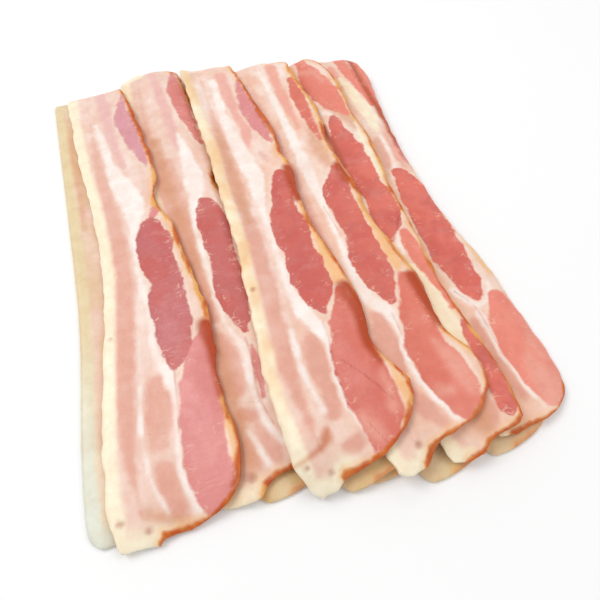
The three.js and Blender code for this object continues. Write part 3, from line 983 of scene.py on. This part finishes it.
def bacon_material(name, layer):
    """Raw bacon: fat, lean and rind told apart by the fields stored on the rasher."""
    material = bpy.data.materials.new(name)
    material.use_nodes = True
    tree = material.node_tree
    tree.nodes.clear()
    brush = Brush(tree)
    warmth = brush.ramp(brush.side["X"], *WARM_ACROSS)
    brightness = brush.ramp(brush.side["X"], *BRIGHT_ACROSS)
    fat = paint_fat(brush, warmth, layer)
    colour, lean, fibre = paint_lean(brush, warmth, brightness, fat)
    colour = paint_threads(brush, colour, lean)
    colour = paint_rind(brush, colour, layer)
    colour = paint_marks(brush, colour, layer)
    pores = brush.part(brush.noise(PORE_SIZE), PORE_BUMP)
    relief = brush.maths("ADD", brush.part(fibre, lean, FIBRE_BUMP), pores)
    inputs = {"Height": relief, "Strength": BUMP_STRENGTH, "Distance": BUMP_DISTANCE * MM}
    bump = add_node(tree, "ShaderNodeBump", inputs)
    inputs = {
        "Base Color": colour,
        "Roughness": brush.between(brush.patches("moist"), *ROUGH_LEAST_MOST),
        "Normal": bump.outputs[0],
        "Specular IOR Level": SPECULAR,
        "Subsurface Weight": GLOW_WEIGHT,
        "Subsurface Radius": GLOW_RADIUS,
        "Subsurface Scale": GLOW_DEPTH * MM,
    }
    shader = add_node(tree, "ShaderNodeBsdfPrincipled", inputs)
    add_node(tree, "ShaderNodeOutputMaterial", {"Surface": shader.outputs[0]})
    return material


def make_rasher(node, base, rims, trees, material):
    """The dressed rasher that stands for a CAD node."""
    layer = node.name.split("_")[0]
    obj = bpy.data.objects.new(node.name + "_rasher", base)
    bpy.context.scene.collection.objects.link(obj)
    obj.data = grown(obj, trees["surface"], Levels=LEVELS[layer])
    paint_fields(obj.data, node.name, rims)
    obj.data = grown(
        obj,
        trees["relief"],
        Lean_dip=LEAN_DIP * MM,
        Swell_height=SWELL_HEIGHT * MM,
        Swell_size=SWELL_SIZE * MM,
        Grain_height=GRAIN_HEIGHT * MM,
        Grain_size=GRAIN_SIZE * MM,
        Ragged_depth=RAGGED_DEPTH[layer] * MM,
        Ragged_size=RAGGED_SIZE * MM,
        Seed=float(LAID_DOWN.index(node.name)),
        Material=material,
    )
    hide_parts(node.name)
    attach(obj, "root")


def add_floor():
    """A pale floor for the photograph."""
    bpy.ops.mesh.primitive_plane_add(size=FLOOR_SIZE, location=(0, 0, FLOOR_LEVEL))
    floor = bpy.context.object
    floor.name = "floor"
    material = bpy.data.materials.new("pale_floor")
    material.use_nodes = True
    shader = material.node_tree.nodes["Principled BSDF"]
    shader.inputs["Base Color"].default_value = FLOOR_WHITE
    shader.inputs["Roughness"].default_value = FLOOR_ROUGHNESS
    floor.data.materials.append(material)


def add_light(name, place, size, power):
    """An area light turned to the middle of the pack."""
    light = bpy.data.lights.new(name, "AREA")
    light.size = size
    light.energy = power
    obj = bpy.data.objects.new(name, light)
    obj.location = place
    obj.rotation_euler = (-Vector(place)).to_track_quat("-Z", "Y").to_euler()
    bpy.context.scene.collection.objects.link(obj)


def add_camera():
    """The photograph's camera."""
    camera = bpy.data.cameras.new("photo_view")
    camera.sensor_width = SENSOR_WIDTH
    camera.lens = LENS
    camera.clip_start = NEAREST_SEEN * MM
    obj = bpy.data.objects.new("photo_view", camera)
    axes = np.array((VIEW_RIGHT, -np.array(VIEW_DOWN), -np.array(VIEW_AHEAD))).T
    turn = Matrix(axes.tolist()).to_4x4()
    obj.matrix_world = Matrix.Translation(Vector((EYE + PLAN_ORIGIN) * MM)) @ turn
    bpy.context.scene.collection.objects.link(obj)
    bpy.context.scene.camera = obj


def add_world():
    """Even white light from all sides."""
    world = bpy.data.worlds.new("studio")
    world.use_nodes = True
    background = world.node_tree.nodes["Background"]
    background.inputs["Color"].default_value = WORLD_COLOUR
    background.inputs["Strength"].default_value = WORLD_STRENGTH
    bpy.context.scene.world = world
    bpy.context.scene.view_settings.view_transform = "Standard"


add_camera()
add_world()
add_floor()
for name, (place, size, power) in LIGHTS.items():
    add_light(name, place, size, power)

trees = {"surface": surface_tree(), "relief": relief_tree()}
finishes = {layer: bacon_material(layer + "_bacon", layer) for layer in LEVELS}
bases = {name: merged_copy(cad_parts[name]) for name in LAID_DOWN}
rims = {name: rim_of(base) for name, base in bases.items()}
for name in LAID_DOWN:
    make_rasher(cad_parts[name], bases[name], rims, trees, finishes[name.split("_")[0]])
